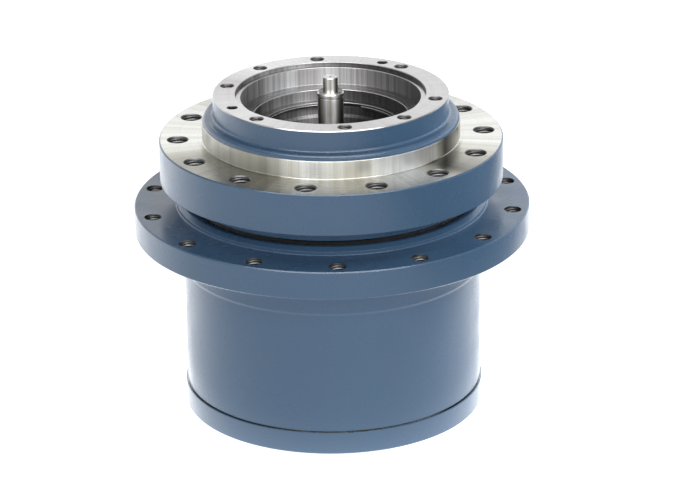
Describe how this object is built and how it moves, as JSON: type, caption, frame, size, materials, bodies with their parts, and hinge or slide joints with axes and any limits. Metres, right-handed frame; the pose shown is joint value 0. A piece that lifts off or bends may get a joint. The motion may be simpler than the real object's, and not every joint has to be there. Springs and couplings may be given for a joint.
{
  "type": "excavator final drive",
  "caption": "Round planetary final drive: a hub with a flange for the track sprocket turns on a fixed spindle with a frame flange and a bored neck for the motor; the input shaft stands out.",
  "frame": {"origin": "middle of the end cover's outer face, on the drive's axis", "axes": "+Z runs along the axis from the end cover to the motor face; -Y is the front and +X its right"},
  "size_m": [0.44, 0.44, 0.379],
  "materials": {
    "blue_grey_paint": "smooth semi-gloss primer on machined casting",
    "machined_steel": "fine turned",
    "gear_steel": "hardened and ground",
    "bearing_steel": "polished",
    "black_oxide_steel": "black oxide",
    "bearing_bronze": "satin",
    "nitrile_rubber": "matt"
  },
  "bodies": {
    "spindle": {"spindle_housing": "blue_grey_paint", "bore_retaining_ring": "machined_steel", "bearing_lock_nut": "black_oxide_steel", "upper_bearing_cone": "bearing_steel", "lower_bearing_cone": "bearing_steel", "upper_seal_ring": "machined_steel", "upper_seal_toric": "nitrile_rubber", "second_carrier": "gear_steel", "carrier_screw_1": "black_oxide_steel", "carrier_screw_2": "black_oxide_steel", "carrier_screw_3": "black_oxide_steel", "second_planet_pin_1": "bearing_steel", "second_planet_pin_2": "bearing_steel", "second_planet_pin_3": "bearing_steel"},
    "hub": {"hub_housing": "blue_grey_paint", "ring_gear": "gear_steel", "end_cover": "blue_grey_paint", "cover_o_ring": "nitrile_rubber", "thrust_pad": "bearing_bronze", "cover_screw_01": "black_oxide_steel", "cover_screw_02": "black_oxide_steel", "cover_screw_03": "black_oxide_steel", "cover_screw_04": "black_oxide_steel", "cover_screw_05": "black_oxide_steel", "cover_screw_06": "black_oxide_steel", "cover_screw_07": "black_oxide_steel", "cover_screw_08": "black_oxide_steel", "cover_screw_09": "black_oxide_steel", "cover_screw_10": "black_oxide_steel", "cover_screw_11": "black_oxide_steel", "cover_screw_12": "black_oxide_steel", "cover_plug_1": "black_oxide_steel", "cover_plug_2": "black_oxide_steel", "upper_bearing_cup": "bearing_steel", "lower_bearing_cup": "bearing_steel", "lower_seal_ring": "machined_steel", "lower_seal_toric": "nitrile_rubber"},
    "upper_rollers": {"upper_bearing_rollers": "bearing_steel"},
    "lower_rollers": {"lower_bearing_rollers": "bearing_steel"},
    "input_shaft": {"input_shaft": "gear_steel"},
    "first_carrier": {"first_carrier": "gear_steel", "second_sun_gear": "gear_steel", "first_planet_pin_1": "bearing_steel", "first_planet_pin_2": "bearing_steel", "first_planet_pin_3": "bearing_steel"},
    "first_planet_1": {"first_planet_gear_1": "gear_steel", "first_planet_bush_1": "bearing_bronze"},
    "first_planet_2": {"first_planet_gear_2": "gear_steel", "first_planet_bush_2": "bearing_bronze"},
    "first_planet_3": {"first_planet_gear_3": "gear_steel", "first_planet_bush_3": "bearing_bronze"},
    "second_planet_1": {"second_planet_gear_1": "gear_steel", "second_planet_bush_1": "bearing_bronze"},
    "second_planet_2": {"second_planet_gear_2": "gear_steel", "second_planet_bush_2": "bearing_bronze"},
    "second_planet_3": {"second_planet_gear_3": "gear_steel", "second_planet_bush_3": "bearing_bronze"}
  },
  "joints": [
    {"name": "hub_spin", "type": "hinge", "parent": "spindle", "child": "hub", "pos_m": [0, 0, 0.2], "axis": [0, 0, 1], "continuous": true},
    {"name": "upper_rollers_spin", "type": "hinge", "parent": "spindle", "child": "upper_rollers", "pos_m": [0, 0, 0.222], "axis": [0, 0, 1], "continuous": true},
    {"name": "lower_rollers_spin", "type": "hinge", "parent": "spindle", "child": "lower_rollers", "pos_m": [0, 0, 0.182], "axis": [0, 0, 1], "continuous": true},
    {"name": "input_shaft_spin", "type": "hinge", "parent": "spindle", "child": "input_shaft", "pos_m": [0, 0, 0.2], "axis": [0, 0, 1], "continuous": true},
    {"name": "first_carrier_spin", "type": "hinge", "parent": "spindle", "child": "first_carrier", "pos_m": [0, 0, 0.051], "axis": [0, 0, 1], "continuous": true},
    {"name": "first_planet_1_spin", "type": "hinge", "parent": "first_carrier", "child": "first_planet_1", "pos_m": [0.07171, 0.0414, 0.0495], "axis": [0, 0, 1], "continuous": true},
    {"name": "first_planet_2_spin", "type": "hinge", "parent": "first_carrier", "child": "first_planet_2", "pos_m": [-0.07171, 0.0414, 0.0495], "axis": [0, 0, 1], "continuous": true},
    {"name": "first_planet_3_spin", "type": "hinge", "parent": "first_carrier", "child": "first_planet_3", "pos_m": [0, -0.0828, 0.0495], "axis": [0, 0, 1], "continuous": true},
    {"name": "second_planet_1_spin", "type": "hinge", "parent": "spindle", "child": "second_planet_1", "pos_m": [0, 0.0897, 0.111], "axis": [0, 0, 1], "continuous": true},
    {"name": "second_planet_2_spin", "type": "hinge", "parent": "spindle", "child": "second_planet_2", "pos_m": [-0.07768, -0.04485, 0.111], "axis": [0, 0, 1], "continuous": true},
    {"name": "second_planet_3_spin", "type": "hinge", "parent": "spindle", "child": "second_planet_3", "pos_m": [0.07768, -0.04485, 0.111], "axis": [0, 0, 1], "continuous": true}
  ],
  "couplings": [
    {"joint": "upper_rollers_spin", "follows": "hub_spin", "ratio": 0.52941},
    {"joint": "lower_rollers_spin", "follows": "hub_spin", "ratio": 0.52941},
    {"joint": "input_shaft_spin", "follows": "hub_spin", "ratio": -25},
    {"joint": "first_carrier_spin", "follows": "hub_spin", "ratio": -3.3333},
    {"joint": "first_planet_1_spin", "follows": "hub_spin", "ratio": 10.833},
    {"joint": "first_planet_2_spin", "follows": "hub_spin", "ratio": 10.833},
    {"joint": "first_planet_3_spin", "follows": "hub_spin", "ratio": 10.833},
    {"joint": "second_planet_1_spin", "follows": "hub_spin", "ratio": 2.8571},
    {"joint": "second_planet_2_spin", "follows": "hub_spin", "ratio": 2.8571},
    {"joint": "second_planet_3_spin", "follows": "hub_spin", "ratio": 2.8571}
  ]
}
